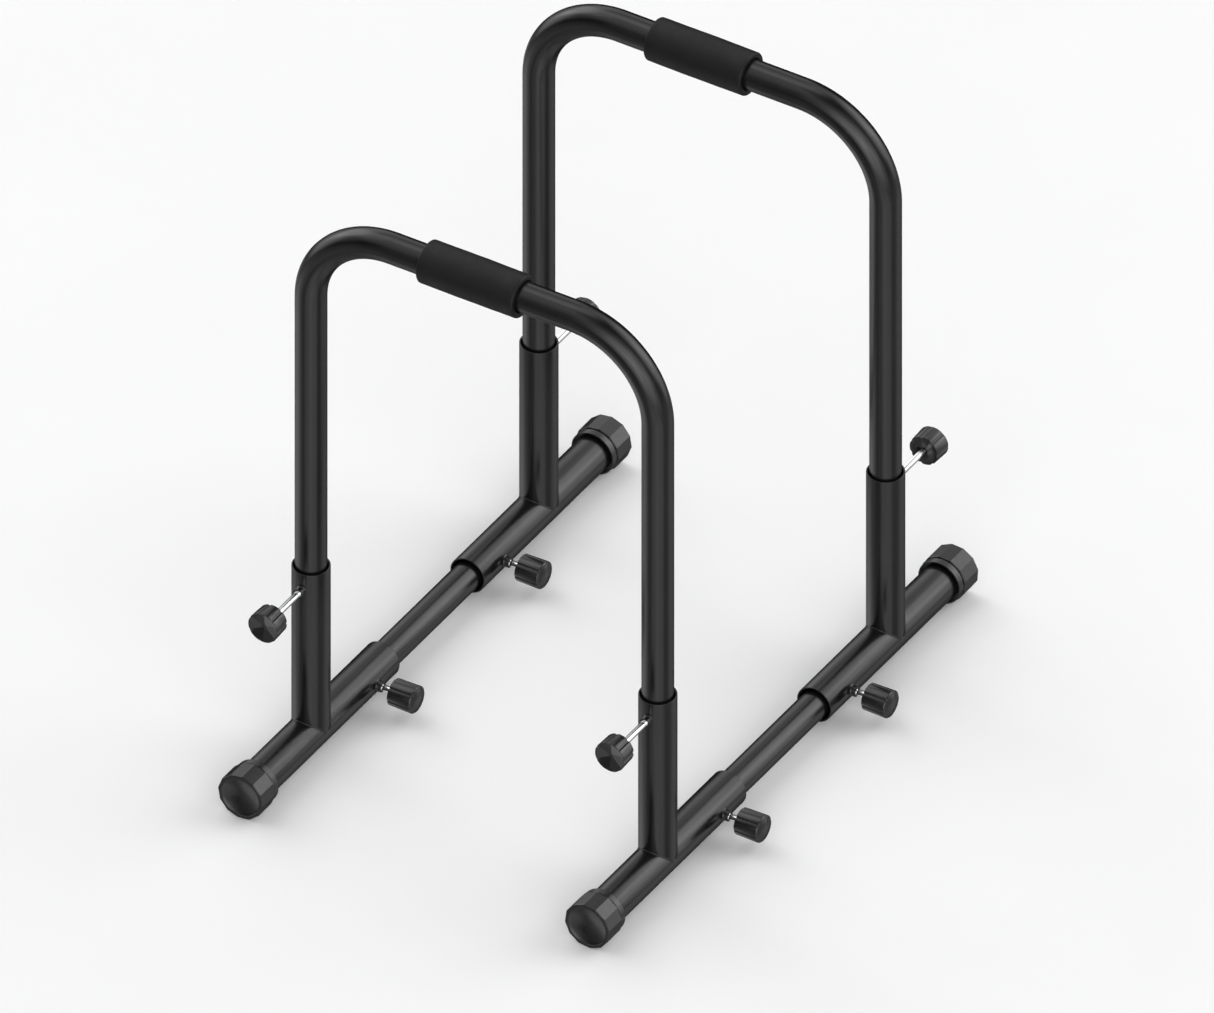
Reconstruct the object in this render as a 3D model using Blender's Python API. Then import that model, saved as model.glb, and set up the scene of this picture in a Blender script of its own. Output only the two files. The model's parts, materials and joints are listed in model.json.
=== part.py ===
"""Parallel bars for dips, as an assembly of its real pieces.

Two bent hoops carry the bars. Their legs telescope in four uprights, and each upright stands on a floor
rail. A cross tube joins each front rail to the back rail behind it. Hand screws lock every sliding joint.

Units are metres, with +Z up, +X along the bars and +Y from the front hoop to the back hoop. The origin
lies on the floor, in the middle of the object's bounding box.
"""

import math

import bmesh
import bpy
from mathutils import Matrix, Vector

# Layout, between centres
BAR_SPACING = 0.500
LEG_SPACING = 0.470
BAR_HEIGHT = 0.7673
OVERALL_DEPTH = 0.812

# Tubes: outside radius and wall thickness
HOOP_RADIUS, HOOP_WALL = 0.0190, 0.0015
SLEEVE_RADIUS, SLEEVE_WALL = 0.0228, 0.0020
RAIL_RADIUS, RAIL_WALL = 0.0233, 0.0020
CROSS_RADIUS, CROSS_WALL = 0.0179, 0.0015
BEND_RADIUS = 0.112
BEND_STEPS = 8
GAP = 0.0003

# How finely round pieces are cut, and the angle from which an edge is drawn sharp
SIDES, SMALL_SIDES, HOLE_SIDES = 24, 12, 8
SHARP_ANGLE = math.radians(25)

# End cap: a round collar with a recessed mouth, and a twelve-sided foot with a dish in its face, whose
# wall slopes in to a floor that is deepest in the middle
CAP_FACETS = 12
CAP_RADIUS = 0.0303
CAP_LENGTH = 0.0390
CAP_CHAMFER = 0.0012
COLLAR_RADIUS = 0.0284
COLLAR_LENGTH = 0.0085
GROOVE_RADIUS = 0.0272
GROOVE_WIDTH = 0.0010
MOUTH_RADIUS = 0.0261
MOUTH_DEPTH = 0.0040
SOCKET_RADIUS = RAIL_RADIUS + 0.0005
SOCKET_DEPTH = 0.0305
DISH_RADIUS = 0.0240
DISH_WALL_WIDTH, DISH_WALL_DEPTH = 0.0030, 0.0048
DISH_DEPTH = 0.0060
CAP_APOTHEM = CAP_RADIUS * math.cos(math.pi / CAP_FACETS)

# Uprights and rails
RAIL_AXIS_HEIGHT = CAP_APOTHEM
SLEEVE_TOP = 0.237
RAIL_INNER_END = 0.093
RAIL_OUTER_END = OVERALL_DEPTH / 2 - CAP_LENGTH + SOCKET_DEPTH - GAP
LEG_SCREW_DROP = 0.0245
LEG_SCREW_HEIGHT = SLEEVE_TOP - LEG_SCREW_DROP
RAIL_SCREW_PLACE = 0.140

# Hoop legs: their lower end and the row of locking holes, with the top hole at the screw
LEG_FOOT = 0.0275
HOLE_PITCH = 0.030
HOLE_COUNT = 5
LEG_HOLE_RADIUS = 0.0050

# Cross tubes
CROSS_LENGTH = 0.486

# Foam grips
GRIP_RADIUS = 0.0270
GRIP_LENGTH = 0.131
GRIP_OFFSET = -0.012

# M8 hand screws in round threaded bosses; distances are from the axis of the tube that carries them
SCREW_RADIUS = 0.0040
SCREW_CHAMFER = 0.0010
CLEARANCE_RADIUS = 0.0046
NUT_RADIUS = 0.0063
NUT_HEIGHT = 0.0065
LEG_SCREW_TIP = 0.0206
LEG_KNOB_FACE = 0.0830
RAIL_SCREW_TIP = CROSS_RADIUS + GAP
RAIL_KNOB_FACE = 0.0445
SCREW_IN_KNOB = 0.0160

# Knobs: panels parted by V grooves, flared towards the outer end. A short fat one with a hollow face
# locks each leg, and a longer, thinner one with a domed face locks each rail. "rim" is how far the
# face's edge is from the inner end, and "rise" is how far the face's middle stands out from that edge
LEG_KNOB = {"panels": 7, "inner": 0.0191, "outer": 0.0199, "rim": 0.0248, "rise": -0.0064, "turn": 0.0}
RAIL_KNOB = {"panels": 6, "inner": 0.0166, "outer": 0.0171, "rim": 0.0315, "rise": 0.0035, "turn": 41.7}
KNOB_HALFWAY_SHARE = 0.6
KNOB_GROOVE_DEPTH = 0.0013
KNOB_GROOVE_ANGLE = 16
KNOB_CHAMFER = 0.0008
KNOB_EDGE = 0.0018

# Plastic glides, plugged into the inner tube's end with a flange that fills the outer tube
GLIDE_FLANGE = 0.0030
GLIDE_PLUG = 0.0160
GLIDE_CLEARANCE = 0.0004

# The hand screws of the rails all point to +X, which moves the middle of the bounding box
MIDDLE_X = (RAIL_KNOB_FACE + RAIL_KNOB["rim"] + RAIL_KNOB["rise"] - CAP_APOTHEM) / 2

# Colour, roughness and metallic value of each finish
FINISHES = {
    "powder_coat": ((0.020, 0.020, 0.022), 0.42, 0.0),
    "foam": ((0.010, 0.010, 0.011), 0.85, 0.0),
    "cap_plastic": ((0.022, 0.022, 0.024), 0.50, 0.0),
    "knob_plastic": ((0.016, 0.016, 0.017), 0.35, 0.0),
    "glide_plastic": ((0.030, 0.030, 0.030), 0.60, 0.0),
    "screw_steel": ((0.80, 0.80, 0.81), 0.18, 1.0),
}


def material(finish):
    """The finish's Principled material, made once."""
    if finish in bpy.data.materials:
        return bpy.data.materials[finish]
    colour, roughness, metallic = FINISHES[finish]
    made = bpy.data.materials.new(finish)
    made.use_nodes = True
    shader = made.node_tree.nodes["Principled BSDF"]
    shader.inputs["Base Color"].default_value = (*colour, 1.0)
    shader.inputs["Roughness"].default_value = roughness
    shader.inputs["Metallic"].default_value = metallic
    made.diffuse_color = (*colour, 1.0)
    return made


def ring(radius, height, sides=SIDES):
    """A level circle of points about the Z axis, or one point where the radius is zero."""
    if radius == 0:
        return [Vector((0, 0, height))]
    angles = (math.tau * k / sides for k in range(sides))
    return [Vector((radius * math.cos(a), radius * math.sin(a), height)) for a in angles]


def facet_ring(radius, height, facets):
    """A level polygon about the Z axis that also has a point in the middle of every facet."""
    apothem = radius * math.cos(math.pi / facets)
    corners = ring(radius, height, 2 * facets)
    middles = ring(apothem, height, 2 * facets)
    return [corners[k] if k % 2 else middles[k] for k in range(2 * facets)]


def loft(name, rings, finish, closed=False):
    """A mesh through a list of rings that have equal counts of points, or one point at a tip.

    With closed, the last ring joins the first, as round the wall of a tube.
    """
    mesh = bpy.data.meshes.new(name)
    shape = bmesh.new()
    rows = [[shape.verts.new(point) for point in row] for row in rings]
    pairs = list(zip(rows, rows[1:]))
    if closed:
        pairs.append((rows[-1], rows[0]))
    for lower, upper in pairs:
        count = max(len(lower), len(upper))
        for k in range(count):
            corners = [lower[k % len(lower)], lower[(k + 1) % len(lower)]]
            corners += [upper[(k + 1) % len(upper)], upper[k % len(upper)]]
            shape.faces.new(dict.fromkeys(corners))
    bmesh.ops.recalc_face_normals(shape, faces=shape.faces)
    shape.to_mesh(mesh)
    shape.free()
    mesh.materials.append(material(finish))
    mesh.shade_smooth()
    mesh.set_sharp_from_angle(angle=SHARP_ANGLE)
    return mesh


def place(name, mesh, parent, location, rotation=None):
    """Puts a named object with this mesh in the scene, turned by rotation and moved to location."""
    piece = bpy.data.objects.new(name, mesh)
    bpy.context.scene.collection.objects.link(piece)
    piece.parent = parent
    piece.location = location
    if rotation:
        piece.rotation_euler = rotation.to_euler()
    return piece


def helper(name, parent, location):
    """An empty that marks a joint's origin or a group of pieces."""
    return place(name, None, parent, location)


def less(mesh, cutters):
    """The mesh with the volume of each (mesh, matrix) cutter taken away."""
    body = place(mesh.name, mesh, None, Vector())
    helpers = [body]
    for cutter_mesh, matrix in cutters:
        cutter = place("cutter", cutter_mesh, None, Vector())
        cutter.matrix_world = matrix
        cutter.hide_render = True
        cutter.display_type = "WIRE"
        modifier = body.modifiers.new("hole", "BOOLEAN")
        modifier.operation = "DIFFERENCE"
        modifier.solver = "EXACT"
        modifier.object = cutter
        helpers.append(cutter)
    bpy.context.view_layer.update()
    graph = bpy.context.evaluated_depsgraph_get()
    result = bpy.data.meshes.new_from_object(body.evaluated_get(graph))
    result.name = mesh.name
    for piece in helpers:
        bpy.data.objects.remove(piece)
    return result


# Rotations that lay the Z axis of a mesh along another axis
ALONG_PLUS_X = Matrix.Rotation(math.radians(90), 4, "Y")
ALONG_PLUS_Y = Matrix.Rotation(math.radians(-90), 4, "X")
ALONG_MINUS_Y = Matrix.Rotation(math.radians(90), 4, "X")
HALF_TURN = Matrix.Rotation(math.radians(180), 4, "Z")


def straight_tube(name, radius, wall, low, high, finish="powder_coat"):
    """A hollow tube along Z, open at both ends."""
    rings = [ring(radius, low), ring(radius, high), ring(radius - wall, high), ring(radius - wall, low)]
    return loft(name, rings, finish, closed=True)


def drill(radius, start, end, sides=SMALL_SIDES):
    """A solid rod along Z that cuts a hole."""
    rings = [ring(0, start), ring(radius, start, sides), ring(radius, end, sides), ring(0, end)]
    return loft("drill", rings, "screw_steel")


def rail_mesh():
    """A floor rail along Z from its capped end, with a screw hole on its +X side."""
    length = RAIL_OUTER_END - RAIL_INNER_END
    tube = straight_tube("rail_tube", RAIL_RADIUS, RAIL_WALL, 0, length)
    hole = drill(CLEARANCE_RADIUS, RAIL_RADIUS - 2 * RAIL_WALL, RAIL_RADIUS + RAIL_WALL)
    up = Matrix.Translation((0, 0, RAIL_OUTER_END - RAIL_SCREW_PLACE))
    return less(tube, [(hole, up @ ALONG_PLUS_X)])


def sleeve_mesh():
    """An upright, coped at the bottom to the rail under it, with a screw hole on its -Y side."""
    tube = straight_tube("upright_sleeve", SLEEVE_RADIUS, SLEEVE_WALL, 0, SLEEVE_TOP)
    cope = drill(RAIL_RADIUS + GAP, -2 * RAIL_RADIUS, 2 * RAIL_RADIUS, SIDES)
    hole = drill(CLEARANCE_RADIUS, SLEEVE_RADIUS - 2 * SLEEVE_WALL, SLEEVE_RADIUS + SLEEVE_WALL)
    up = Matrix.Translation((0, 0, LEG_SCREW_HEIGHT))
    return less(tube, [(cope, ALONG_PLUS_Y), (hole, up @ ALONG_MINUS_Y)])


def hoop_path():
    """Centre and direction at each ring of the bent tube, from the left foot round to the right one."""
    half = LEG_SPACING / 2
    bar = BAR_HEIGHT - RAIL_AXIS_HEIGHT
    path = [(Vector((-half, 0, LEG_FOOT)), 0)]
    for side in (-1, 1):
        middle = Vector((side * (half - BEND_RADIUS), 0, bar - BEND_RADIUS))
        for step in range(BEND_STEPS + 1):
            turn = math.radians(90) * (step / BEND_STEPS + (side > 0))
            arm = Vector((-math.cos(turn), 0, math.sin(turn)))
            path.append((middle + BEND_RADIUS * arm, turn))
    path.append((Vector((half, 0, LEG_FOOT)), math.radians(180)))
    return path


def hoop_mesh():
    """The bent tube of one hoop, with a row of locking holes on the -Y side of each leg."""

    def rings(radius):
        turned = ((centre, Matrix.Rotation(turn, 4, "Y")) for centre, turn in hoop_path())
        return [[centre + turn @ point for point in ring(radius, 0)] for centre, turn in turned]

    outside, inside = rings(HOOP_RADIUS), rings(HOOP_RADIUS - HOOP_WALL)
    tube = loft("hoop", outside + inside[::-1], "powder_coat", closed=True)
    hole = drill(LEG_HOLE_RADIUS, HOOP_RADIUS - 2 * HOOP_WALL, HOOP_RADIUS + HOOP_WALL, HOLE_SIDES)
    places = []
    for side in (-1, 1):
        for step in range(HOLE_COUNT):
            spot = Vector((side * LEG_SPACING / 2, 0, LEG_SCREW_HEIGHT - step * HOLE_PITCH))
            places.append((hole, Matrix.Translation(spot) @ ALONG_MINUS_Y))
    return less(tube, places)


def cap_mesh():
    """An end cap along Z: the mouth of its collar is at zero and its dished face is at the far end."""
    shoulder = COLLAR_LENGTH + GROOVE_WIDTH
    rings = [
        ring(0, SOCKET_DEPTH),
        ring(SOCKET_RADIUS, SOCKET_DEPTH),
        ring(SOCKET_RADIUS, MOUTH_DEPTH),
        ring(MOUTH_RADIUS, MOUTH_DEPTH),
        ring(MOUTH_RADIUS, 0),
        ring(COLLAR_RADIUS, 0),
        ring(COLLAR_RADIUS, COLLAR_LENGTH),
        ring(GROOVE_RADIUS, COLLAR_LENGTH),
        ring(GROOVE_RADIUS, shoulder),
        facet_ring(CAP_RADIUS, shoulder, CAP_FACETS),
        facet_ring(CAP_RADIUS, CAP_LENGTH - CAP_CHAMFER, CAP_FACETS),
        facet_ring(CAP_RADIUS - CAP_CHAMFER, CAP_LENGTH, CAP_FACETS),
        ring(DISH_RADIUS, CAP_LENGTH),
        ring(DISH_RADIUS - DISH_WALL_WIDTH, CAP_LENGTH - DISH_WALL_DEPTH),
        ring(0, CAP_LENGTH - DISH_DEPTH),
    ]
    return loft("end_cap", rings, "cap_plastic")


def nut_mesh(tube_radius):
    """A round threaded boss along Z, coped at the bottom to a tube along Y whose top is at zero."""

    def coped(radius):
        points = ring(radius, 0, SMALL_SIDES)
        for point in points:
            point.z = math.sqrt(tube_radius**2 - point.x**2) - tube_radius + GAP
        return points

    rings = [coped(NUT_RADIUS), ring(NUT_RADIUS, NUT_HEIGHT, SMALL_SIDES)]
    rings += [ring(CLEARANCE_RADIUS, NUT_HEIGHT, SMALL_SIDES), coped(CLEARANCE_RADIUS)]
    return loft("threaded_boss", rings, "powder_coat", closed=True)


def screw_mesh(length):
    """A hand screw's shank along Z, from its chamfered tip at zero."""
    rings = [
        ring(0, 0),
        ring(SCREW_RADIUS - SCREW_CHAMFER, 0, SMALL_SIDES),
        ring(SCREW_RADIUS, SCREW_CHAMFER, SMALL_SIDES),
        ring(SCREW_RADIUS, length, SMALL_SIDES),
        ring(0, length),
    ]
    return loft("hand_screw", rings, "screw_steel")


def panel_ring(knob, radius, height, groove_depth):
    """The knob's outline at one height, with four points to a panel: a groove, two edges and a middle."""
    pitch = 360 / knob["panels"]
    edge = KNOB_GROOVE_ANGLE / 2
    points = []
    for k in range(knob["panels"]):
        for angle, depth in ((0, groove_depth), (edge, 0), (pitch / 2, 0), (pitch - edge, 0)):
            turn = math.radians(knob["turn"] + k * pitch + angle)
            reach = radius - depth
            points.append(Vector((reach * math.cos(turn), reach * math.sin(turn), height)))
    return points


def knob_mesh(knob):
    """A knob along Z, with its flat inner face and the screw's blind hole at zero."""
    sides = 4 * knob["panels"]
    rim, rise = knob["rim"], knob["rise"]
    face = knob["outer"] - KNOB_EDGE
    bend = (1 - math.cos(math.radians(45))) * KNOB_EDGE
    rings = [
        ring(0, SCREW_IN_KNOB + GAP),
        ring(CLEARANCE_RADIUS, SCREW_IN_KNOB + GAP, sides),
        ring(CLEARANCE_RADIUS, 0, sides),
        panel_ring(knob, knob["inner"] - KNOB_CHAMFER, 0, KNOB_GROOVE_DEPTH),
        panel_ring(knob, knob["inner"], KNOB_CHAMFER, KNOB_GROOVE_DEPTH),
        panel_ring(knob, knob["outer"], rim - KNOB_EDGE, KNOB_GROOVE_DEPTH),
        panel_ring(knob, knob["outer"] - bend, rim - bend, KNOB_GROOVE_DEPTH / 2),
        panel_ring(knob, face, rim, 0),
        panel_ring(knob, face / 2, rim + KNOB_HALFWAY_SHARE * rise, 0),
        ring(0, rim + rise),
    ]
    return loft("knob", rings, "knob_plastic")


def glide_mesh(tube_radius, tube_wall, bore_radius):
    """A glide along Z: its flange ends at zero and its plug goes up into the tube's end."""
    flange = bore_radius - GLIDE_CLEARANCE
    plug = tube_radius - tube_wall - GLIDE_CLEARANCE
    rings = [
        ring(0, -GLIDE_FLANGE, SMALL_SIDES),
        ring(flange, -GLIDE_FLANGE, SMALL_SIDES),
        ring(flange, 0, SMALL_SIDES),
        ring(plug, 0, SMALL_SIDES),
        ring(plug, GLIDE_PLUG, SMALL_SIDES),
        ring(0, GLIDE_PLUG, SMALL_SIDES),
    ]
    return loft("glide", rings, "glide_plastic")


def grip_mesh():
    """A foam grip along Z, hollow for the bar."""
    wall = GRIP_RADIUS - HOOP_RADIUS - GAP
    return straight_tube("grip", GRIP_RADIUS, wall, -GRIP_LENGTH / 2, GRIP_LENGTH / 2, "foam")


def hand_screw(name, meshes, parent, surface, tip, face, rotation):
    """A boss, a screw and its knob on an axis that starts at the parent, on the tube's own axis."""
    outward = rotation @ Vector((0, 0, 1))
    kind = name.split("_")[-1]
    for piece, distance in (("nut", surface), ("screw", tip), ("knob", face)):
        place(f"{name}_{piece}", meshes[f"{kind}_{piece}"], parent, outward * distance, rotation)


def corner(end, side, meshes, group):
    """One T-shaped corner: its rail, upright, cap, nuts and hand screws. end is -1 at the front."""
    name = f"{'front' if end < 0 else 'back'}_{'left' if side < 0 else 'right'}"
    inward = ALONG_PLUS_Y if end < 0 else ALONG_MINUS_Y
    outward = ALONG_MINUS_Y if end < 0 else ALONG_PLUS_Y
    x = side * LEG_SPACING / 2
    foot = helper(f"{name}_foot", group, (x, end * BAR_SPACING / 2, 0))

    rail = helper(f"{name}_rail", group, (x, 0, 0))
    place(f"{name}_rail_tube", meshes["rail"], rail, (0, end * RAIL_OUTER_END, 0), inward)
    cap_mouth = end * (OVERALL_DEPTH / 2 - CAP_LENGTH)
    place(f"{name}_end_cap", meshes["cap"], rail, (0, cap_mouth, 0), outward)
    rail_screw = helper(f"{name}_rail_screw_axis", rail, (0, end * RAIL_SCREW_PLACE, 0))
    hand_screw(
        f"{name}_rail", meshes, rail_screw, RAIL_RADIUS, RAIL_SCREW_TIP, RAIL_KNOB_FACE, ALONG_PLUS_X
    )

    place(f"{name}_upright_sleeve", meshes["sleeve"], foot, (0, 0, 0), HALF_TURN if end > 0 else None)
    leg_screw = helper(f"{name}_leg_screw_axis", foot, (0, 0, LEG_SCREW_HEIGHT))
    hand_screw(
        f"{name}_leg", meshes, leg_screw, SLEEVE_RADIUS, LEG_SCREW_TIP, LEG_KNOB_FACE, outward
    )


def hoop(end, meshes, group):
    """One hoop with its grip and the glides in its feet."""
    word = "front" if end < 0 else "back"
    slide = helper(f"{word}_hoop_slide", group, (0, end * BAR_SPACING / 2, 0))
    place(f"{word}_hoop", meshes["hoop"], slide, (0, 0, 0), HALF_TURN if end > 0 else None)
    bar = BAR_HEIGHT - RAIL_AXIS_HEIGHT
    place(f"{word}_grip", meshes["grip"], slide, (GRIP_OFFSET, 0, bar), ALONG_PLUS_X)
    for side, label in ((-1, "left"), (1, "right")):
        foot = (side * LEG_SPACING / 2, 0, LEG_FOOT - GAP)
        place(f"{word}_{label}_leg_glide", meshes["leg_glide"], slide, foot)


def cross_tube(side, meshes, group):
    """The tube that joins a front rail to the back rail behind it, with a glide in each end."""
    name = f"{'left' if side < 0 else 'right'}_cross_tube"
    slide = helper(f"{name}_slide", group, (side * LEG_SPACING / 2, 0, 0))
    place(name, meshes["cross_tube"], slide, (0, 0, 0), ALONG_PLUS_Y)
    reach = CROSS_LENGTH / 2 + GAP
    place(f"{name}_front_glide", meshes["cross_glide"], slide, (0, -reach, 0), ALONG_PLUS_Y)
    place(f"{name}_back_glide", meshes["cross_glide"], slide, (0, reach, 0), ALONG_MINUS_Y)


def all_meshes():
    """Every different shape, made once; repeated pieces share them."""
    half = CROSS_LENGTH / 2
    return {
        "rail": rail_mesh(),
        "sleeve": sleeve_mesh(),
        "hoop": hoop_mesh(),
        "cap": cap_mesh(),
        "leg_nut": nut_mesh(SLEEVE_RADIUS),
        "rail_nut": nut_mesh(RAIL_RADIUS),
        "leg_knob": knob_mesh(LEG_KNOB),
        "rail_knob": knob_mesh(RAIL_KNOB),
        "grip": grip_mesh(),
        "leg_screw": screw_mesh(LEG_KNOB_FACE + SCREW_IN_KNOB - LEG_SCREW_TIP),
        "rail_screw": screw_mesh(RAIL_KNOB_FACE + SCREW_IN_KNOB - RAIL_SCREW_TIP),
        "cross_tube": straight_tube("cross_tube", CROSS_RADIUS, CROSS_WALL, -half, half),
        "leg_glide": glide_mesh(HOOP_RADIUS, HOOP_WALL, SLEEVE_RADIUS - SLEEVE_WALL),
        "cross_glide": glide_mesh(CROSS_RADIUS, CROSS_WALL, RAIL_RADIUS - RAIL_WALL),
    }


def main():
    for piece in list(bpy.data.objects):
        bpy.data.objects.remove(piece)
    meshes = all_meshes()
    # Every group hangs from one empty, at the height of the rails' axes and midway between the uprights
    frame = helper("rail_axes", None, (-MIDDLE_X, 0, RAIL_AXIS_HEIGHT))
    for end in (-1, 1):
        for side in (-1, 1):
            corner(end, side, meshes, frame)
        hoop(end, meshes, frame)
    for side in (-1, 1):
        cross_tube(side, meshes, frame)


main()
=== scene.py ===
"""The looks of the parallel bars: finely made pieces in place of the plain solids, their finishes, a
pale studio and the camera. Every place and size that the frame holds is read from it; the constants
below are the details that it leaves out. Units are metres."""

import json
import math

import bmesh
import bpy
from mathutils import Matrix, Vector, noise


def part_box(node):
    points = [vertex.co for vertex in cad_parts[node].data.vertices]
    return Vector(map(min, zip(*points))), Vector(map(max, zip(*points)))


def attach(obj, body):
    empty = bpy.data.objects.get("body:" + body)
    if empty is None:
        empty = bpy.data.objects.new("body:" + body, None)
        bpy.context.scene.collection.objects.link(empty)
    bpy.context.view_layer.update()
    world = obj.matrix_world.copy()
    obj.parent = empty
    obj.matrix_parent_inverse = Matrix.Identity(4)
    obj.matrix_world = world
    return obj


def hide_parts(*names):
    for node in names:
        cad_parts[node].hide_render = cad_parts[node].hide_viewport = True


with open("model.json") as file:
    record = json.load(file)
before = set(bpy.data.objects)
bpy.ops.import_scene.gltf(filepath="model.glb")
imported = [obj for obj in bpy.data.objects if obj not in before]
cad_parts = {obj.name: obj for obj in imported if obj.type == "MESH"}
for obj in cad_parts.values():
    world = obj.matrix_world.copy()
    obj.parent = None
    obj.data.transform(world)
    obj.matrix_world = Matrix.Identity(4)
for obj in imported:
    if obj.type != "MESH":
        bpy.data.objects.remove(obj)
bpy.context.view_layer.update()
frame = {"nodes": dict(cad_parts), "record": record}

RECORD = frame["record"]
BODY_OF = {node: body for body, nodes in RECORD["behaviour"]["bodies"].items() for node in nodes}
ENDS = ("front", "back")
SIDES = ("left", "right")

# Tubes, with the points round a circle of each kind of piece
AROUND, BOSS_AROUND, DRILL_AROUND = 72, 48, 32
BEND_RADIUS = 0.112
BEND_STEPS = 36
HOOP_WALL, SLEEVE_WALL, RAIL_WALL, CROSS_WALL = 0.0015, 0.0020, 0.0020, 0.0015
RIM_ROUND = 0.0006
COPE_GAP = 0.0002
LEG_HOLE_RADIUS = 0.0050
LEG_HOLE_PITCH = 0.030
LEG_HOLE_COUNT = 5
TAPPED_RADIUS = 0.0044

# Weld beads, and the bosses with the height of their fillet's middle and the reach of its top
BEAD_RADIUS = 0.0009
BEAD_STEPS = 144
BEAD_SIDES = 12
BOSS_FILLET = 0.0014
FILLET_MIDDLE_HEIGHT = 0.0004
FILLET_TOP_REACH = 0.0002
BOSS_EDGE = 0.0007
BOSS_COUNTERSINK = 0.0008

# M8 thread: how steep its flanks are, and how wide its crest is
PITCH = 0.00125
THREAD_DEPTH = 0.00062
THREAD_CHAMFER = 0.0014
THREAD_SIDES = 36
THREAD_SLOPE, THREAD_CREST = 1.6, 0.3
ROWS_PER_PITCH = 4
THREAD_LENGTH = 0.012
SCREW_IN_KNOB = 0.016

# Knobs, in turn on the legs and on the rails. The rim of a knob's face stands back from the outer end of
# its solid, and the middle of the face rises from the rim. On the legs it sinks, in flat facets
KNOB_RADIUS = {"leg": 0.0199, "rail": 0.0171}
KNOB_FLARE = {"leg": 0.0008, "rail": 0.0005}
KNOB_PANELS = {"leg": 7, "rail": 6}
KNOB_TURN = {"leg": 0.0, "rail": 41.7}
GROOVE_DEPTH = 0.0013
GROOVE_HALF_ANGLE = {"leg": 9.0, "rail": 7.0}
GROOVE_STEPS = 6
PANEL_STEPS = 8
KNOB_BORE_BEVEL = 0.0006
KNOB_CHAMFER, KNOB_CHAMFER_STEPS = 0.0008, 3
KNOB_EDGE, KNOB_EDGE_STEPS = {"leg": 0.0006, "rail": 0.0018}, 8
KNOB_RIM_BACK = {"leg": 0.0018, "rail": 0.0035}
KNOB_RISE = {"leg": -0.0046, "rail": 0.0035}
FACE_SHARES = (0.9, 0.75, 0.5, 0.25)
FACE_FACETS, FACE_TURN = 6, 56.0

# End caps, with the angle by which each is turned on its rail
CAP_FACETS = 12
CAP_CORNER_STEPS, CAP_FLAT_STEPS = 3, 5
CAP_CORNER = 0.0008
CAP_TURN = {"front_left": 10.0, "front_right": -7.5, "back_left": 9.0, "back_right": -3.0}
COLLAR_LENGTH = 0.0085
COLLAR_INSET = 0.0019
COLLAR_BEVEL = 0.0003
CAP_GROOVE = 0.0010
GROOVE_LIP = 0.0001
CAP_EDGE = 0.0012
MOUTH_RADIUS = 0.0261
MOUTH_DEPTH = 0.0040
SOCKET_DEPTH = 0.0305
SOCKET_GAP = 0.0005
DISH_RADIUS = 0.0255
DISH_LIP = 0.0008
DISH_STEP = 0.0012
DISH_DEPTH = 0.0070
DISH_SHARES = (0.97, 0.9, 0.8, 0.65, 0.5, 0.35, 0.2, 0)

# Foam grips: soft ends, shallow lumps and a faint waist. The lumps' noise is sampled apart on each grip
GRIP_GAP = 0.0003
GRIP_ROWS, GRIP_END_ROWS, GRIP_END_STEPS = 64, 3, 6
GRIP_SOFT = 0.0022
GRIP_MOUTH_BEVEL, GRIP_MOUTH_DEPTH, GRIP_MOUTH_INSET = 0.0012, 0.0022, 0.0002
GRIP_WALL_LEAST = 0.003
GRIP_LUMPS, GRIP_LUMPS_SCALE = 0.00022, 45
GRIP_WAIST = 0.00025
GRIP_SEED_STEP = 7.0

# Studio: each soft light's azimuth from +X towards +Y, its elevation, both in degrees, and its strength.
# A light is at full strength within its core and falls to nothing at its edge. Those below the horizon
# show only in the gloss of the pieces, which doesn't mirror the floor
# fmt: off
LIGHTS = (
    (26, 5, 0.20), (51, 5, 1.34), (154, 5, 0.47), (180, 5, 1.28),
    (257, 5, 0.15), (283, 5, 1.60), (309, 5, 1.48), (334, 5, 0.90),
    (0, 26, 0.21), (33, 26, 1.76), (65, 26, 1.67), (131, 26, 1.04),
    (164, 26, 2.11), (196, 26, 0.35), (262, 26, 0.38), (295, 26, 1.66),
    (327, 26, 1.17), (0, 46, 0.15), (45, 46, 1.53), (90, 46, 0.97),
    (180, 46, 1.16), (225, 46, 0.67), (270, 46, 0.41), (315, 46, 0.59),
    (144, 68, 1.36), (216, 68, 0.38), (0, -18, 0.29), (33, -18, 0.32),
    (65, -18, 0.23), (196, -18, 0.20), (229, -18, 0.27), (295, -18, 0.51),
    (327, -18, 0.30), (0, -40, 0.16), (40, -40, 0.42), (80, -40, 0.11),
    (160, -40, 0.40), (200, -40, 0.30), (240, -40, 0.22), (280, -40, 0.71),
    (320, -40, 0.83), (0, -62, 0.23), (144, -62, 0.15), (216, -62, 0.14),
    (288, -62, 0.37), (0, -88, 0.28), (197, -48, 0.60),
)
# fmt: on
LIGHT_CORE, LIGHT_EDGE = 6.65, 25.0
FLOOR_HALF = 6.0

# Camera: the direction that it looks from, and the width and middle of its view at the rails' height
AZIMUTH, ELEVATION = math.radians(31.70), math.radians(37.08)
VIEW_WIDTH = 1.400
VIEW_RIGHT, VIEW_UP = 0.0100, 0.2019
CAMERA_DISTANCE = 3.0


# ---------------------------------------------------------------- mesh building


def ring(radius, height, sides=AROUND):
    """A level circle of points about the Z axis, or one point where the radius is zero."""
    if radius == 0:
        return [Vector((0, 0, height))]
    angles = (math.tau * k / sides for k in range(sides))
    return [Vector((radius * math.cos(a), radius * math.sin(a), height)) for a in angles]


def quarter(centre_radius, centre_height, size, start, steps=4):
    """(radius, height) points of a quarter circle in a turned profile, from an angle in degrees."""
    angles = (math.radians(start + 90 * k / steps) for k in range(steps + 1))
    return [(centre_radius + size * math.cos(a), centre_height + size * math.sin(a)) for a in angles]


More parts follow.
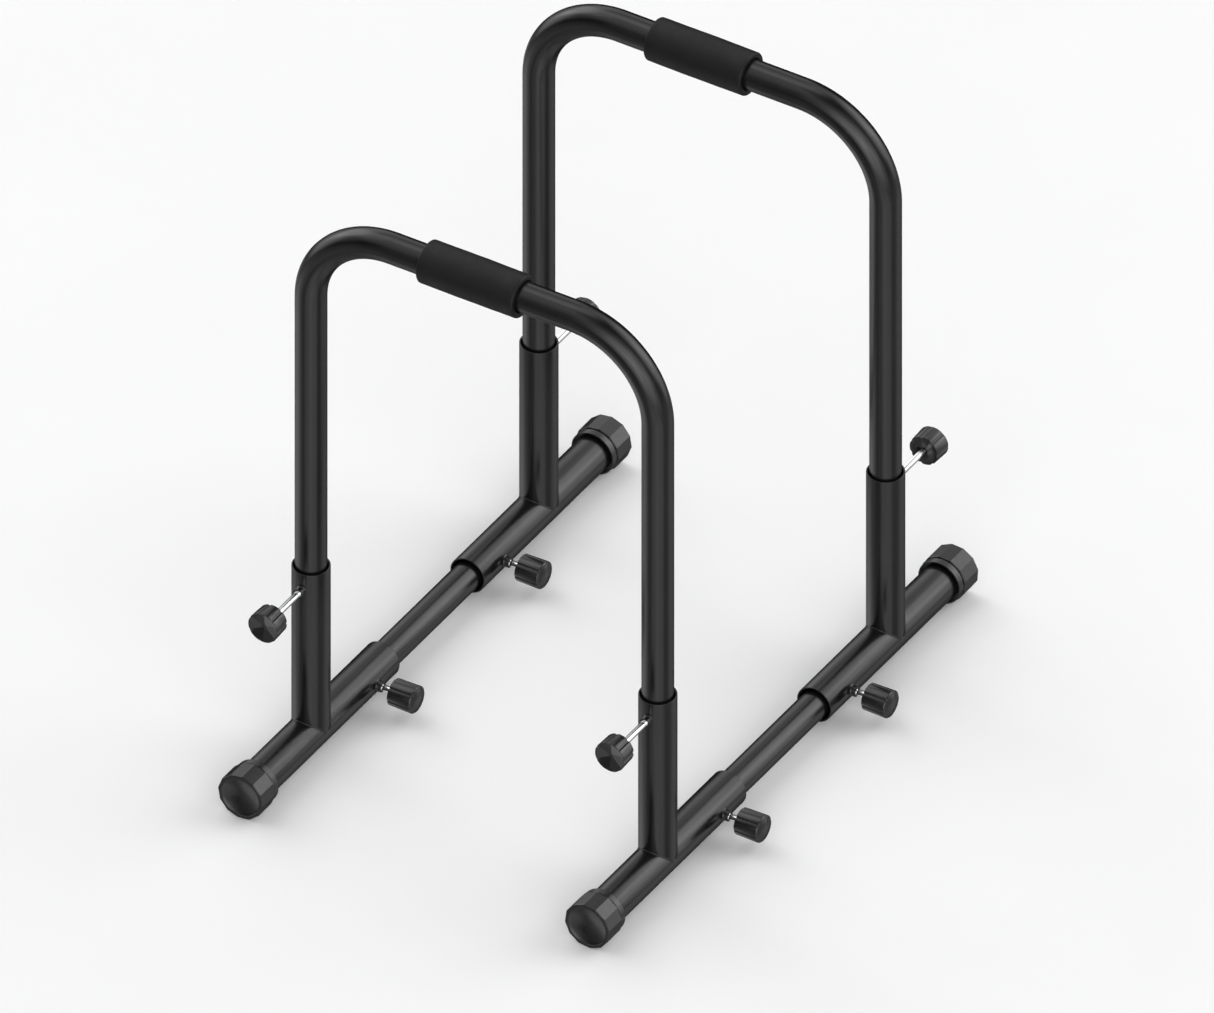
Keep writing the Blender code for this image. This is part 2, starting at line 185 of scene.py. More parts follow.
def loft(name, rings, closed=False, sharp=30):
    """A mesh through rings that have equal counts of points, or one point at a tip."""
    mesh = bpy.data.meshes.new(name)
    shape = bmesh.new()
    rows = [[shape.verts.new(point) for point in row] for row in rings]
    pairs = list(zip(rows, rows[1:]))
    if closed:
        pairs.append((rows[-1], rows[0]))
    for lower, upper in pairs:
        count = max(len(lower), len(upper))
        for k in range(count):
            corners = [lower[k % len(lower)], lower[(k + 1) % len(lower)]]
            corners += [upper[(k + 1) % len(upper)], upper[k % len(upper)]]
            shape.faces.new(dict.fromkeys(corners))
    bmesh.ops.recalc_face_normals(shape, faces=shape.faces)
    shape.to_mesh(mesh)
    shape.free()
    shade(mesh, sharp)
    return mesh


def shade(mesh, sharp=30):
    """Smooth shading, but for edges bent by more than this angle in degrees."""
    mesh.shade_smooth()
    mesh.set_sharp_from_angle(angle=math.radians(sharp))


def turned(name, profile, closed=False, sides=AROUND):
    """A mesh of revolution about the Z axis, from its (radius, height) profile."""
    return loft(name, [ring(radius, height, sides) for radius, height in profile], closed)


def less(mesh, cutters):
    """The mesh with the volume of each (mesh, matrix) cutter taken away."""
    body = bpy.data.objects.new(mesh.name, mesh)
    helpers = [body]
    for cutter_mesh, matrix in cutters:
        cutter = bpy.data.objects.new("cutter", cutter_mesh)
        cutter.matrix_world = matrix
        modifier = body.modifiers.new("hole", "BOOLEAN")
        modifier.operation = "DIFFERENCE"
        modifier.solver = "EXACT"
        modifier.object = cutter
        helpers.append(cutter)
    for helper in helpers:
        bpy.context.scene.collection.objects.link(helper)
    bpy.context.view_layer.update()
    graph = bpy.context.evaluated_depsgraph_get()
    result = bpy.data.meshes.new_from_object(body.evaluated_get(graph))
    result.name = mesh.name
    for helper in helpers:
        bpy.data.objects.remove(helper)
    shade(result)
    return result


def drill(radius, start, end):
    """A rod along Z that cuts a hole."""
    profile = [(0, start), (radius, start), (radius, end), (0, end)]
    return turned("drill", profile, sides=DRILL_AROUND)


def along(direction):
    """The rotation that lays the Z axis along another axis without twisting it more than it must."""
    return Vector((0, 0, 1)).rotation_difference(Vector(direction)).to_matrix().to_4x4()


def at(place, direction):
    """The matrix that puts a mesh's origin here and lays its Z axis along a direction."""
    return Matrix.Translation(place) @ along(direction)


# ---------------------------------------------------------------- the frame's places


def middle(node):
    low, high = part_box(node)
    return (low + high) / 2


def size(node):
    low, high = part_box(node)
    return high - low


FOOT = {}
for end in ENDS:
    for side in SIDES:
        sleeve, rail = f"{end}_{side}_upright_sleeve", f"{end}_{side}_rail_tube"
        FOOT[end, side] = Vector((middle(sleeve).x, middle(sleeve).y, middle(rail).z))
CENTRE = sum(FOOT.values(), Vector()) / len(FOOT)
RAIL_RADIUS = size("front_left_rail_tube").z / 2
SLEEVE_RADIUS = size("front_left_upright_sleeve").x / 2
HOOP_RADIUS = size("front_hoop").y / 2
CROSS_RADIUS = size("left_cross_tube").z / 2


def outward(end):
    return Vector((0, -1 if end == "front" else 1, 0))


def wear(piece, finish):
    """Gives a piece this material and no other."""
    piece.data.materials.clear()
    piece.data.materials.append(finish)


def show(name, mesh, matrix, body, finish):
    """Adds a piece that rides on this body, with its finish and material slot."""
    piece = bpy.data.objects.new(name, mesh)
    bpy.context.scene.collection.objects.link(piece)
    piece.matrix_world = matrix
    wear(piece, finish)
    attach(piece, body)
    return piece


def stand_in(node, mesh, matrix, finish):
    """Shows this mesh instead of a CAD node, on the same body and in the finish given."""
    piece = show(f"{node}_detail", mesh, matrix, BODY_OF[node], finish)
    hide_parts(node)
    return piece


# ---------------------------------------------------------------- finishes


class Finish:
    """A Principled material in the making, patterned in the coordinates of the piece that wears it."""

    def __init__(self, name, **sockets):
        self.material = bpy.data.materials.new(name)
        self.material.use_nodes = True
        self.tree = self.material.node_tree
        self.shader = self.tree.nodes["Principled BSDF"]
        self.place = self.node("ShaderNodeTexCoord").outputs["Object"]
        for socket, value in sockets.items():
            self.shader.inputs[socket.replace("_", " ")].default_value = value

    def node(self, kind, **settings):
        made = self.tree.nodes.new(kind)
        for key, value in settings.items():
            setattr(made, key, value)
        return made

    def link(self, source, target):
        self.tree.links.new(source, target)

    def stretched(self, scale):
        """The piece's coordinates, scaled by a different number along each axis."""
        mapping = self.node("ShaderNodeMapping")
        mapping.inputs["Scale"].default_value = scale
        self.link(self.place, mapping.inputs["Vector"])
        return mapping.outputs["Vector"]

    def noise(self, scale, detail=3.0, place=None):
        made = self.node("ShaderNodeTexNoise")
        made.inputs["Scale"].default_value = scale
        made.inputs["Detail"].default_value = detail
        self.link(place or self.place, made.inputs["Vector"])
        return made.outputs["Fac"]

    def cells(self, scale):
        """Distance to the nearest point of a cell pattern."""
        made = self.node("ShaderNodeTexVoronoi")
        made.inputs["Scale"].default_value = scale
        self.link(self.place, made.inputs["Vector"])
        return made.outputs["Distance"]

    def remap(self, value, low, high, from_low=0.3, from_high=0.7):
        made = self.node("ShaderNodeMapRange")
        made.inputs["From Min"].default_value = from_low
        made.inputs["From Max"].default_value = from_high
        made.inputs["To Min"].default_value = low
        made.inputs["To Max"].default_value = high
        self.link(value, made.inputs["Value"])
        return made.outputs["Result"]

    def colours(self, factor, first, second):
        made = self.node("ShaderNodeMix", data_type="RGBA")
        made.inputs["A"].default_value = (*first, 1)
        made.inputs["B"].default_value = (*second, 1)
        self.link(factor, made.inputs["Factor"])
        self.link(made.outputs["Result"], self.shader.inputs["Base Color"])

    def rough(self, value):
        self.link(value, self.shader.inputs["Roughness"])

    def bump(self, height, distance, strength=1.0, under=None):
        made = self.node("ShaderNodeBump")
        made.inputs["Distance"].default_value = distance
        made.inputs["Strength"].default_value = strength
        self.link(height, made.inputs["Height"])
        if under:
            self.link(under, made.inputs["Normal"])
        self.link(made.outputs["Normal"], self.shader.inputs["Normal"])
        return made.outputs["Normal"]


def powder_coat():
    """Satin black powder coat: orange peel, a finer grain and faint cloudiness."""
    made = Finish("powder_coat_look", Specular_IOR_Level=0.5)
    cloud = made.remap(made.noise(14, 4), 0, 1, 0.35, 0.65)
    made.colours(cloud, (0.0045, 0.0045, 0.0047), (0.0061, 0.0061, 0.0063))
    made.rough(made.remap(made.noise(60, 5), 0.21, 0.27))
    peel = made.bump(made.noise(420, 2), 0.00006, 0.5)
    made.bump(made.noise(2600, 2), 0.00002, 0.5, peel)
    return made.material


def foam():
    """Closed-cell foam with a smooth skin, finely pitted."""
    made = Finish("foam_look", Specular_IOR_Level=0.3)
    patches = made.remap(made.noise(35, 5), 0, 1)
    made.colours(patches, (0.0028, 0.0028, 0.0029), (0.0046, 0.0046, 0.0047))
    made.rough(made.remap(made.noise(90, 4), 0.48, 0.60))
    lumps = made.bump(made.noise(160, 3), 0.00025, 0.6)
    made.bump(made.cells(1300), 0.00016, 0.5, lumps)
    return made.material


def cap_plastic():
    """Moulded polypropylene with a fine spark-eroded grain."""
    made = Finish("cap_plastic_look", Specular_IOR_Level=0.6)
    patches = made.remap(made.noise(25, 4), 0, 1)
    made.colours(patches, (0.0037, 0.0037, 0.0038), (0.0051, 0.0051, 0.0052))
    made.rough(made.remap(made.noise(180, 4), 0.26, 0.33))
    made.bump(made.noise(1500, 3), 0.00006, 0.5)
    return made.material


def knob_plastic():
    """Harder, glossier plastic, with a little haze from handling."""
    made = Finish("knob_plastic_look", Specular_IOR_Level=0.65)
    patches = made.remap(made.noise(40, 4), 0, 1)
    made.colours(patches, (0.0074, 0.0074, 0.0076), (0.0100, 0.0100, 0.0102))
    made.rough(made.remap(made.noise(120, 4), 0.19, 0.26))
    made.bump(made.noise(1800, 2), 0.00004, 0.4)
    return made.material


def glide_plastic():
    """Plain nylon, slightly polished where it slides."""
    made = Finish("glide_plastic_look", Specular_IOR_Level=0.4)
    patches = made.remap(made.noise(60, 3), 0, 1)
    made.colours(patches, (0.020, 0.020, 0.020), (0.034, 0.034, 0.033))
    made.rough(made.remap(made.noise(150, 3), 0.42, 0.60))
    made.bump(made.noise(900, 2), 0.00005, 0.4)
    return made.material


def screw_steel():
    """Bright zinc plate with fine marks that run round the thread."""
    made = Finish("screw_steel_look", Metallic=1.0)
    patches = made.remap(made.noise(70, 3), 0, 1)
    made.colours(patches, (0.66, 0.67, 0.68), (0.78, 0.78, 0.78))
    made.rough(made.remap(made.noise(300, 4), 0.18, 0.28))
    made.bump(made.noise(1.0, 3, made.stretched((300, 300, 6000))), 0.00003, 0.4)
    return made.material


def floor_paint():
    """Matt, nearly white paint."""
    made = Finish("floor_look", Specular_IOR_Level=0.15)
    patches = made.remap(made.noise(3, 3), 0, 1)
    made.colours(patches, (0.900, 0.900, 0.905), (0.915, 0.915, 0.920))
    made.rough(made.remap(made.noise(40, 3), 0.60, 0.70))
    return made.material


# ---------------------------------------------------------------- tubes


def tube_profile(radius, wall, low, high):
    """The wall of a straight tube with rounded rims, as a closed profile."""
    inside, r = radius - wall, RIM_ROUND
    profile = quarter(radius - r, low + r, r, -90)
    profile += quarter(radius - r, high - r, r, 0)
    profile += quarter(inside + r, high - r, r, 90)
    profile += quarter(inside + r, low + r, r, 180)
    return profile


def hoop_mesh(top, foot, spacing):
    """The bent tube about the rails' height, with the locking holes on the -Y side of each leg."""
    half = spacing / 2
    path = [(Vector((-half, 0, foot + RIM_ROUND)), 0.0)]
    for side in (-1, 1):
        centre = Vector((side * (half - BEND_RADIUS), 0, top - BEND_RADIUS))
        for step in range(BEND_STEPS + 1):
            turn = math.radians(90) * (step / BEND_STEPS + (side > 0))
            path.append((centre + BEND_RADIUS * Vector((-math.cos(turn), 0, math.sin(turn))), turn))
    path.append((Vector((half, 0, foot + RIM_ROUND)), math.pi))

    def rings(radius):
        frames = ((centre, Matrix.Rotation(turn, 4, "Y")) for centre, turn in path)
        return [[centre + turn @ point for point in ring(radius, 0)] for centre, turn in frames]

    outside, inside = rings(HOOP_RADIUS), rings(HOOP_RADIUS - HOOP_WALL)
    tube = loft("hoop", outside + inside[::-1], closed=True)
    hole = drill(LEG_HOLE_RADIUS, HOOP_RADIUS - 2 * HOOP_WALL, HOOP_RADIUS + HOOP_WALL)
    highest = middle("front_left_leg_screw").z - FOOT["front", "left"].z
    cutters = []
    for side in (-1, 1):
        for step in range(LEG_HOLE_COUNT):
            spot = Vector((side * half, 0, highest - step * LEG_HOLE_PITCH))
            cutters.append((hole, at(spot, (0, -1, 0))))
    return less(tube, cutters)


def hoops(finish):
    low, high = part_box("front_hoop")
    base = CENTRE.z
    mesh = hoop_mesh(high.z - HOOP_RADIUS - base, low.z - base, high.x - low.x - 2 * HOOP_RADIUS)
    for end in ENDS:
        place = Vector((CENTRE.x, FOOT[end, "left"].y, base))
        turn = Matrix.Rotation(math.pi if end == "back" else 0, 4, "Z")
        stand_in(f"{end}_hoop", mesh, Matrix.Translation(place) @ turn, finish)


def coped(point, radius, lift=0.0):
    """The point moved along Z on to the top of a tube of this radius that lies along Y."""
    return Vector((point.x, point.y, math.sqrt(radius**2 - point.x**2) + lift))


def sleeves(finish):
    """Uprights, coped on to the rails, each with a tapped hole behind its boss."""
    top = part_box("front_left_upright_sleeve")[1].z - CENTRE.z
    profile = quarter(SLEEVE_RADIUS - RIM_ROUND, top - RIM_ROUND, RIM_ROUND, 0)
    profile += quarter(SLEEVE_RADIUS - SLEEVE_WALL + RIM_ROUND, top - RIM_ROUND, RIM_ROUND, 90)
    saddle, inside = RAIL_RADIUS + COPE_GAP, SLEEVE_RADIUS - SLEEVE_WALL
    rings = [[coped(point, saddle) for point in ring(SLEEVE_RADIUS, 0)]]
    rings += [ring(radius, height) for radius, height in profile]
    rings.append([coped(point, saddle) for point in ring(inside, 0)])
    tube = loft("upright_sleeve", rings, closed=True)
    height = middle("front_left_leg_screw").z - CENTRE.z
    hole = drill(TAPPED_RADIUS, SLEEVE_RADIUS - 2 * SLEEVE_WALL, SLEEVE_RADIUS + SLEEVE_WALL)
    mesh = less(tube, [(hole, at((0, 0, height), (0, -1, 0)))])
    for (end, side), foot in FOOT.items():
        turn = Matrix.Rotation(math.pi if end == "back" else 0, 4, "Z")
        stand_in(f"{end}_{side}_upright_sleeve", mesh, Matrix.Translation(foot) @ turn, finish)


def rails(finish):
    """Floor rails, each with a tapped hole on its +X side."""
    low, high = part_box("back_left_rail_tube")
    tube = turned("rail_tube", tube_profile(RAIL_RADIUS, RAIL_WALL, 0, high.y - low.y), closed=True)
    reach = middle("back_left_rail_screw").y - low.y
    hole = drill(TAPPED_RADIUS, RAIL_RADIUS - 2 * RAIL_WALL, RAIL_RADIUS + RAIL_WALL)
    mesh = less(tube, [(hole, at((0, 0, reach), (1, 0, 0)))])
    for end in ENDS:
        for side in SIDES:
            node = f"{end}_{side}_rail_tube"
            place = middle(node)
            place.y -= outward(end).y * size(node).y / 2
            stand_in(node, mesh, at(place, outward(end)), finish)


def cross_tubes(finish):
    length = size("left_cross_tube").y
    profile = tube_profile(CROSS_RADIUS, CROSS_WALL, -length / 2, length / 2)
    mesh = turned("cross_tube", profile, closed=True)
    for side in SIDES:
        node = f"{side}_cross_tube"
        stand_in(node, mesh, at(middle(node), (0, 1, 0)), finish)


# ---------------------------------------------------------------- welds and bosses


def upright_weld_mesh():
    """The thin, dressed weld where an upright meets its rail."""
    spots = []
    for k in range(BEAD_STEPS):
        angle = math.tau * k / BEAD_STEPS
        from_sleeve = Vector((math.cos(angle), math.sin(angle), 0))
        spot = coped(SLEEVE_RADIUS * from_sleeve, RAIL_RADIUS)
        from_rail = Vector((spot.x, 0, spot.z)).normalized()
        spots.append((spot, (from_sleeve + from_rail).normalized()))
    rings = []
    for k, (spot, out) in enumerate(spots):
        tangent = (spots[(k + 1) % BEAD_STEPS][0] - spots[k - 1][0]).normalized()
        across = tangent.cross(out).normalized()
        turns = (math.tau * j / BEAD_SIDES for j in range(BEAD_SIDES))
        rings.append([spot + BEAD_RADIUS * (math.cos(t) * out + math.sin(t) * across) for t in turns])
    return loft("upright_weld", rings, closed=True)


def boss_mesh(name, tube_radius, radius, height):
    """A round tapped boss along Z on a tube along Y whose axis is at zero, with its weld fillet."""

    def saddle(reach, lift=0.0):
        return [coped(point, tube_radius, lift) for point in ring(reach, 0, BOSS_AROUND)]

    top = tube_radius + height
    profile = quarter(radius - BOSS_EDGE, top - BOSS_EDGE, BOSS_EDGE, 0)
    profile += [(TAPPED_RADIUS + BOSS_COUNTERSINK, top), (TAPPED_RADIUS, top - BOSS_COUNTERSINK)]
    rings = [
        saddle(radius + BOSS_FILLET),
        saddle(radius + BOSS_FILLET / 2, FILLET_MIDDLE_HEIGHT),
        saddle(radius + FILLET_TOP_REACH, BOSS_FILLET),
    ]
    rings += [ring(reach, level, BOSS_AROUND) for reach, level in profile]
    rings.append(saddle(TAPPED_RADIUS))
    return loft(name, rings, closed=True)


def welds_and_bosses(finish):
    weld = upright_weld_mesh()
    nut = size("front_left_leg_nut")
    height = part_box("front_left_rail_nut")[1].x - FOOT["front", "left"].x - RAIL_RADIUS
    leg_boss = boss_mesh("leg_boss", SLEEVE_RADIUS, nut.x / 2, height)
    rail_boss = boss_mesh("rail_boss", RAIL_RADIUS, nut.x / 2, height)
    for (end, side), foot in FOOT.items():
        name = f"{end}_{side}"
        show(f"{name}_weld", weld, Matrix.Translation(foot), f"{end}_base", finish)
        spot = Vector((foot.x, foot.y, middle(f"{name}_leg_nut").z))
        stand_in(f"{name}_leg_nut", leg_boss, at(spot, outward(end)), finish)
        spot = Vector((foot.x, middle(f"{name}_rail_nut").y, foot.z))
        stand_in(f"{name}_rail_nut", rail_boss, at(spot, (1, 0, 0)), finish)


# ---------------------------------------------------------------- hand screws


def screw_mesh(name, radius, length):
    """A rod along Z from its chamfered tip at zero, threaded near the tip and plain above."""
    rows = round(THREAD_LENGTH / PITCH * ROWS_PER_PITCH)
    rings = [ring(0, 0)]
    for k in range(rows + 1):
        height = THREAD_LENGTH * k / rows
        row = []
        for point in ring(1, height, THREAD_SIDES):
            phase = (height / PITCH - math.atan2(point.y, point.x) / math.tau) % 1
            share = THREAD_SLOPE * abs(2 * phase - 1) - THREAD_CREST
            valley = THREAD_DEPTH * min(1, max(0, share))
            reach = min(radius - valley, radius - THREAD_CHAMFER + height)
            row.append(Vector((reach * point.x, reach * point.y, height)))
        rings.append(row)
    rings.append(ring(radius, THREAD_LENGTH + PITCH / 2, THREAD_SIDES))
    rings.append(ring(radius, length, THREAD_SIDES))
    rings.append(ring(0, length))
    return loft(name, rings, sharp=60)


def smooth_fall(value):
    """1 at zero, falling smoothly to 0 at one."""
    value = min(1, max(0, value))
    return 1 - value * value * (3 - 2 * value)


def knob_angles(kind):
    """Where a knob's outline has points, as (degrees round it, degrees from the nearest groove)."""
    panels, half = KNOB_PANELS[kind], GROOVE_HALF_ANGLE[kind]
    pitch = 360 / panels
    across = [half * step / GROOVE_STEPS for step in range(-GROOVE_STEPS, GROOVE_STEPS)]
    across += [half + (pitch - 2 * half) * step / PANEL_STEPS for step in range(PANEL_STEPS)]
    away = [min(abs(angle), pitch - angle) for angle in across]
    return [(k * pitch + a, b) for k in range(panels) for a, b in zip(across, away)]


def knob_ring(kind, radius, height, groove=0.0):
    """A knob's outline at one height: round panels between grooves with soft shoulders."""
    points = []
    for angle, from_groove in knob_angles(kind):
        reach = radius - groove * smooth_fall(from_groove / GROOVE_HALF_ANGLE[kind])
        turn = math.radians(KNOB_TURN[kind] + angle)
        points.append(Vector((reach * math.cos(turn), reach * math.sin(turn), height)))
    return points


def face_rise(kind, share, angle):
    """Share of a face's rise that is reached at this share of its radius: round on a rail's knob and in
    flat facets on a leg's, at this angle about its middle."""
    if kind == "rail":
        return 1 - share**2
    sector = math.tau / FACE_FACETS
    from_facet = (angle - math.radians(FACE_TURN) + sector / 2) % sector - sector / 2
    return 1 - share * math.cos(from_facet)


def knob_mesh(kind, length):
    """A knob along Z, with its flat inner face at zero and its widest outline near the outer end."""
    radius = KNOB_RADIUS[kind]
    inner = radius - KNOB_FLARE[kind]
    rim, edge = length - KNOB_RIM_BACK[kind], KNOB_EDGE[kind]
    rings = [
        ring(0, SCREW_IN_KNOB),
        knob_ring(kind, TAPPED_RADIUS, SCREW_IN_KNOB),
        knob_ring(kind, TAPPED_RADIUS, KNOB_BORE_BEVEL),
        knob_ring(kind, TAPPED_RADIUS + KNOB_BORE_BEVEL, 0),
    ]
    for step in range(KNOB_CHAMFER_STEPS + 1):
        turn = math.radians(90 * step / KNOB_CHAMFER_STEPS)
        reach = inner - KNOB_CHAMFER * (1 - math.sin(turn))
        height = KNOB_CHAMFER * (1 - math.cos(turn))
        rings.append(knob_ring(kind, reach, height, GROOVE_DEPTH))
    for step in range(KNOB_EDGE_STEPS + 1):
        turn = math.radians(90 * step / KNOB_EDGE_STEPS)
        reach = radius - edge * (1 - math.cos(turn))
        height = rim - edge * (1 - math.sin(turn))
        rings.append(knob_ring(kind, reach, height, GROOVE_DEPTH * math.cos(turn)))
    for share in FACE_SHARES:
        inside = knob_ring(kind, (radius - edge) * share, rim)
        for point in inside:
            point.z += KNOB_RISE[kind] * face_rise(kind, share, math.atan2(point.y, point.x))
        rings.append(inside)
    rings.append(ring(0, rim + KNOB_RISE[kind]))
    return loft(f"{kind}_knob", rings, sharp=50)


def hand_screws(steel, plastic):
    """The screws and knobs, each on an axis that starts on the axis of the tube that carries it."""
    lengths = {"leg": size("front_left_leg_screw").y, "rail": size("front_left_rail_screw").x}
    depths = {"leg": size("front_left_leg_knob").y, "rail": size("front_left_rail_knob").x}
    shank = size("front_left_leg_screw").z / 2
    for kind in ("leg", "rail"):
        screw = screw_mesh(f"{kind}_screw", shank, lengths[kind])
        knob = knob_mesh(kind, depths[kind])
        for (end, side), foot in FOOT.items():
            name = f"{end}_{side}_{kind}"
            screw_middle, knob_middle = middle(f"{name}_screw"), middle(f"{name}_knob")
            if kind == "leg":
                away, axis = outward(end), Vector((foot.x, foot.y, screw_middle.z))
            else:
                away, axis = Vector((1, 0, 0)), Vector((foot.x, screw_middle.y, foot.z))
            tip = axis + away * ((screw_middle - axis).dot(away) - lengths[kind] / 2)
            face = axis + away * ((knob_middle - axis).dot(away) - depths[kind] / 2)
            stand_in(f"{name}_screw", screw, at(tip, away), steel)
            stand_in(f"{name}_knob", knob, at(face, away), plastic)


# ---------------------------------------------------------------- end caps


def facet_outline(radius, height, turn):
    """A twelve-sided outline with rounded corners and, but for the turn, a flat facet on each axis."""
    sector = math.tau / CAP_FACETS
    inset = radius - CAP_CORNER / math.cos(sector / 2)
    points = []
    for k in range(CAP_FACETS):
        corner = sector * (k + 0.5) + turn
        centre = inset * Vector((math.cos(corner), math.sin(corner), 0))
        for step in range(CAP_CORNER_STEPS):
            angle = corner + sector * (step / (CAP_CORNER_STEPS - 1) - 0.5)
            x, y = CAP_CORNER * math.cos(angle), CAP_CORNER * math.sin(angle)
            points.append(centre + Vector((x, y, height)))
        across = Matrix.Rotation(sector, 3, "Z") @ points[-CAP_CORNER_STEPS] - points[-1]
        start = points[-1]
        points += [start + across * step / CAP_FLAT_STEPS for step in range(1, CAP_FLAT_STEPS)]
    return points


def cap_mesh(radius, length, turn):
    """An end cap along Z: the mouth of its collar is at zero and its dished face at the far end."""

    def outline(r, height):
        return facet_outline(r, height, turn)

    def circle(r, height):
        """A circle whose points lie at the same angles as the outline's, so that the two join evenly."""
        if r == 0:
            return [Vector((0, 0, height))]
        return [r * p.normalized() + Vector((0, 0, height)) for p in outline(radius, 0)]

    collar, socket = radius - COLLAR_INSET, RAIL_RADIUS + SOCKET_GAP
    shoulder = COLLAR_LENGTH + CAP_GROOVE
    profile = [(0, SOCKET_DEPTH), (socket, SOCKET_DEPTH), (socket, MOUTH_DEPTH)]
    profile.append((MOUTH_RADIUS, MOUTH_DEPTH))
    profile += quarter(MOUTH_RADIUS + RIM_ROUND, RIM_ROUND, -RIM_ROUND, 0)
    profile += quarter(collar - RIM_ROUND, RIM_ROUND, RIM_ROUND, -90)
    profile += [(collar, COLLAR_LENGTH - COLLAR_BEVEL), (collar - COLLAR_BEVEL, COLLAR_LENGTH)]
    profile.append((collar - CAP_GROOVE, COLLAR_LENGTH + GROOVE_LIP))
    profile.append((collar - CAP_GROOVE, shoulder))
    rings = [circle(r, h) for r, h in profile]
    rings += [outline(r, h) for r, h in quarter(radius - CAP_EDGE, shoulder + CAP_EDGE, CAP_EDGE, -90)]
    rings += [outline(r, h) for r, h in quarter(radius - CAP_EDGE, length - CAP_EDGE, CAP_EDGE, 0)]
    dish = quarter(DISH_RADIUS + DISH_LIP, length - DISH_LIP, DISH_LIP, 90)
    bowl = DISH_DEPTH - DISH_STEP
    for share in DISH_SHARES:
        dish.append((DISH_RADIUS * share, length - DISH_STEP - bowl * (1 - share**2)))
    rings += [circle(r, h) for r, h in dish]
    return loft("end_cap", rings, sharp=40)


def caps(finish):
    """End caps, each turned on its rail and pressed flat where it meets the floor."""
    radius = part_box("front_right_end_cap")[1].x - FOOT["front", "right"].x
    radius /= math.cos(math.pi / CAP_FACETS)
    length = size("front_right_end_cap").y
    for (end, side), foot in FOOT.items():
        node, out = f"{end}_{side}_end_cap", outward(end)
        place = at(Vector((foot.x, middle(node).y - out.y * length / 2, foot.z)), out)
        turn = math.radians(CAP_TURN[f"{end}_{side}"]) * -out.y
        mesh = cap_mesh(radius, length, turn)
        for vertex in mesh.vertices:
            spot = place @ vertex.co
            spot.z = max(spot.z, 0)
            vertex.co = place.inverted() @ spot
        piece = stand_in(node, mesh, place, finish)
        piece.modifiers.new("normals", "WEIGHTED_NORMAL").keep_sharp = True


# ---------------------------------------------------------------- foam grips


def grip_mesh(name, radius, length, seed):
    """A foam sleeve along Z with soft ends, faintly uneven from being pushed on to the bar."""
    bore, half = HOOP_RADIUS + GRIP_GAP, length / 2
    mouth, soft = bore + GRIP_MOUTH_BEVEL, radius - GRIP_SOFT
    middle_rows = range(GRIP_END_ROWS, GRIP_ROWS - GRIP_END_ROWS + 1)
    profile = [(mouth, -half + GRIP_MOUTH_INSET)]
    profile += quarter(soft, -half + GRIP_SOFT, GRIP_SOFT, -90, GRIP_END_STEPS)
    profile += [(radius, length * (k / GRIP_ROWS - 0.5)) for k in middle_rows]
    profile += quarter(soft, half - GRIP_SOFT, GRIP_SOFT, 0, GRIP_END_STEPS)
    profile += [(mouth, half - GRIP_MOUTH_INSET), (bore, half - GRIP_MOUTH_DEPTH)]
    profile.append((bore, -half + GRIP_MOUTH_DEPTH))
    rings = []
    for reach, height in profile:
        row = []
        for point in ring(1, height):
            spot = Vector((point.x * reach, point.y * reach, height))
            lumps = GRIP_LUMPS * noise.noise(spot * GRIP_LUMPS_SCALE + Vector((seed, 0, 0)))
            waist = GRIP_WAIST * (math.cos(math.tau * height / length) - 1) * 0.5
            swell = (lumps + waist) if reach > bore + GRIP_WALL_LEAST else 0
            row.append(Vector((point.x * (reach + swell), point.y * (reach + swell), height)))
        rings.append(row)
    return loft(name, rings, closed=True)


def grips(finish):
    for seed, end in enumerate(ENDS):
        node = f"{end}_grip"
        extent = size(node)
        mesh = grip_mesh(node, extent.z / 2, extent.x, GRIP_SEED_STEP * seed)
        piece = stand_in(node, mesh, at(middle(node), (1, 0, 0)), finish)


# ---------------------------------------------------------------- studio and camera


def pale_floor():
    """A wide floor that the pieces' gloss doesn't mirror."""
    mesh = bpy.data.meshes.new("floor")
    corners = [(x * FLOOR_HALF, y * FLOOR_HALF, 0) for x, y in ((-1, -1), (1, -1), (1, 1), (-1, 1))]
    mesh.from_pydata(corners, [], [(0, 1, 2, 3)])
    floor = bpy.data.objects.new("floor", mesh)
    bpy.context.scene.collection.objects.link(floor)
    floor.data.materials.append(floor_paint())
    floor.visible_glossy = False


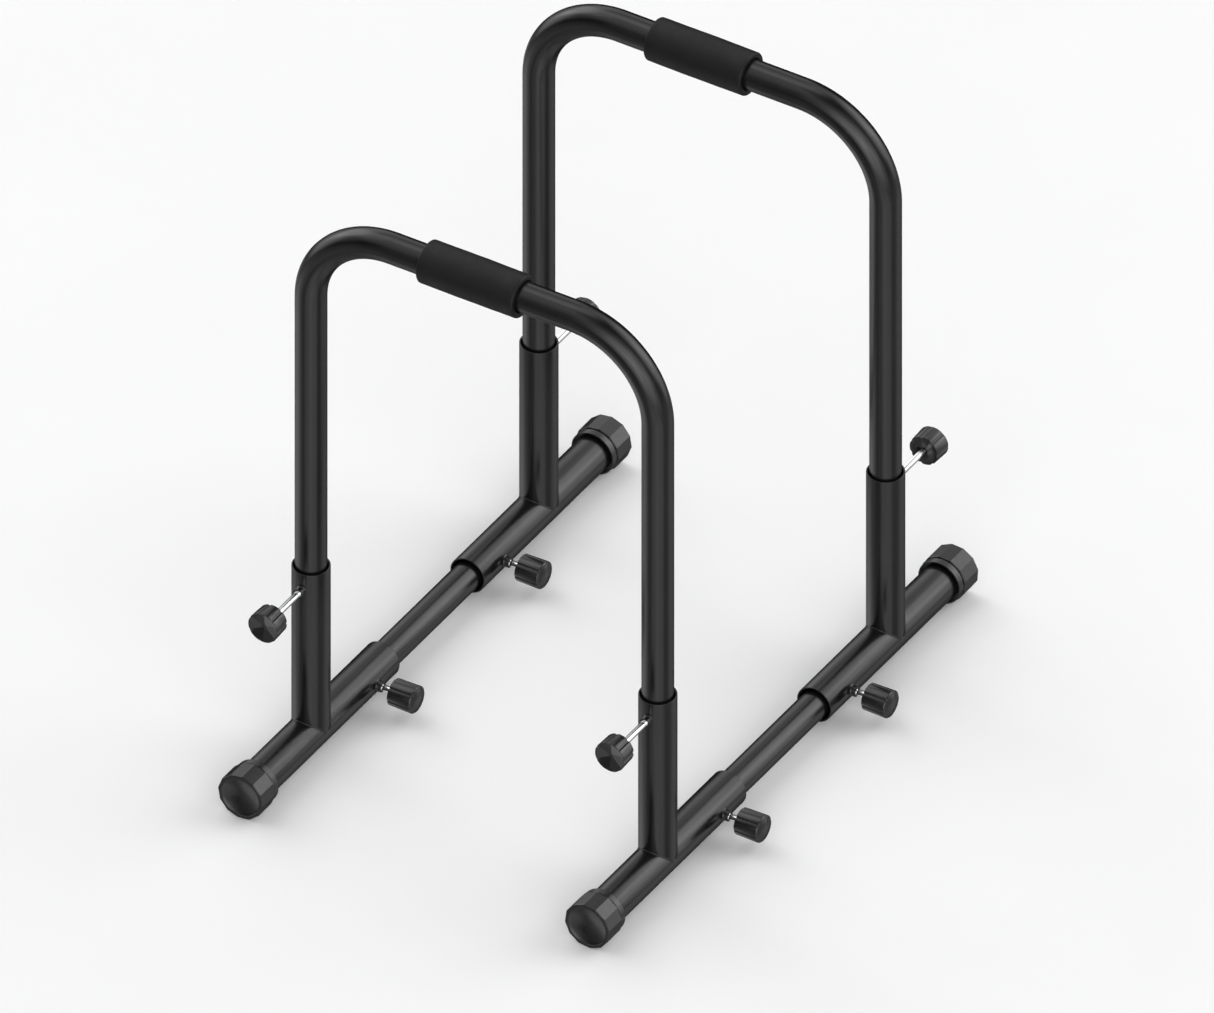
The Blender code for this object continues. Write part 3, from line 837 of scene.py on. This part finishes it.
def studio():
    """A dark dome that holds soft, distant lights."""
    bpy.context.scene.view_settings.view_transform = "Standard"
    world = bpy.data.worlds.new("studio")
    world.use_nodes = True
    bpy.context.scene.world = world
    tree = world.node_tree
    background = tree.nodes["Background"]
    background.inputs["Color"].default_value = (1, 1, 1, 1)
    place = tree.nodes.new("ShaderNodeTexCoord")
    total = None
    for azimuth, elevation, strength in LIGHTS:
        turn, rise = math.radians(azimuth), math.radians(elevation)
        level = math.cos(rise)
        towards = (math.cos(turn) * level, math.sin(turn) * level, math.sin(rise))
        near = tree.nodes.new("ShaderNodeVectorMath")
        near.operation = "DOT_PRODUCT"
        near.inputs[1].default_value = towards
        tree.links.new(place.outputs["Generated"], near.inputs[0])
        glow = tree.nodes.new("ShaderNodeMapRange")
        glow.interpolation_type = "SMOOTHSTEP"
        glow.inputs["From Min"].default_value = math.cos(math.radians(LIGHT_EDGE))
        glow.inputs["From Max"].default_value = math.cos(math.radians(LIGHT_CORE))
        glow.inputs["To Max"].default_value = strength
        tree.links.new(near.outputs["Value"], glow.inputs["Value"])
        if total is None:
            total = glow.outputs["Result"]
            continue
        together = tree.nodes.new("ShaderNodeMath")
        tree.links.new(total, together.inputs[0])
        tree.links.new(glow.outputs["Result"], together.inputs[1])
        total = together.outputs["Value"]
    tree.links.new(total, background.inputs["Strength"])


def camera():
    """A camera without perspective that looks down at the object from its front right."""
    level = math.cos(ELEVATION)
    back = Vector((math.sin(AZIMUTH) * level, -math.cos(AZIMUTH) * level, math.sin(ELEVATION)))
    right = Vector((math.cos(AZIMUTH), math.sin(AZIMUTH), 0))
    up = back.cross(right)
    lens = bpy.data.cameras.new("camera")
    lens.type = "ORTHO"
    lens.ortho_scale = VIEW_WIDTH
    made = bpy.data.objects.new("camera", lens)
    bpy.context.scene.collection.objects.link(made)
    place = CENTRE + VIEW_RIGHT * right + VIEW_UP * up + CAMERA_DISTANCE * back
    made.matrix_world = Matrix.Translation(place) @ Matrix((right, up, back)).transposed().to_4x4()
    bpy.context.scene.camera = made


def main():
    coat, plastic = powder_coat(), glide_plastic()
    hoops(coat)
    sleeves(coat)
    rails(coat)
    cross_tubes(coat)
    welds_and_bosses(coat)
    hand_screws(screw_steel(), knob_plastic())
    caps(cap_plastic())
    grips(foam())
    for node, piece in frame["nodes"].items():
        if node.endswith("glide"):
            wear(piece, plastic)
    pale_floor()
    studio()
    camera()


main()
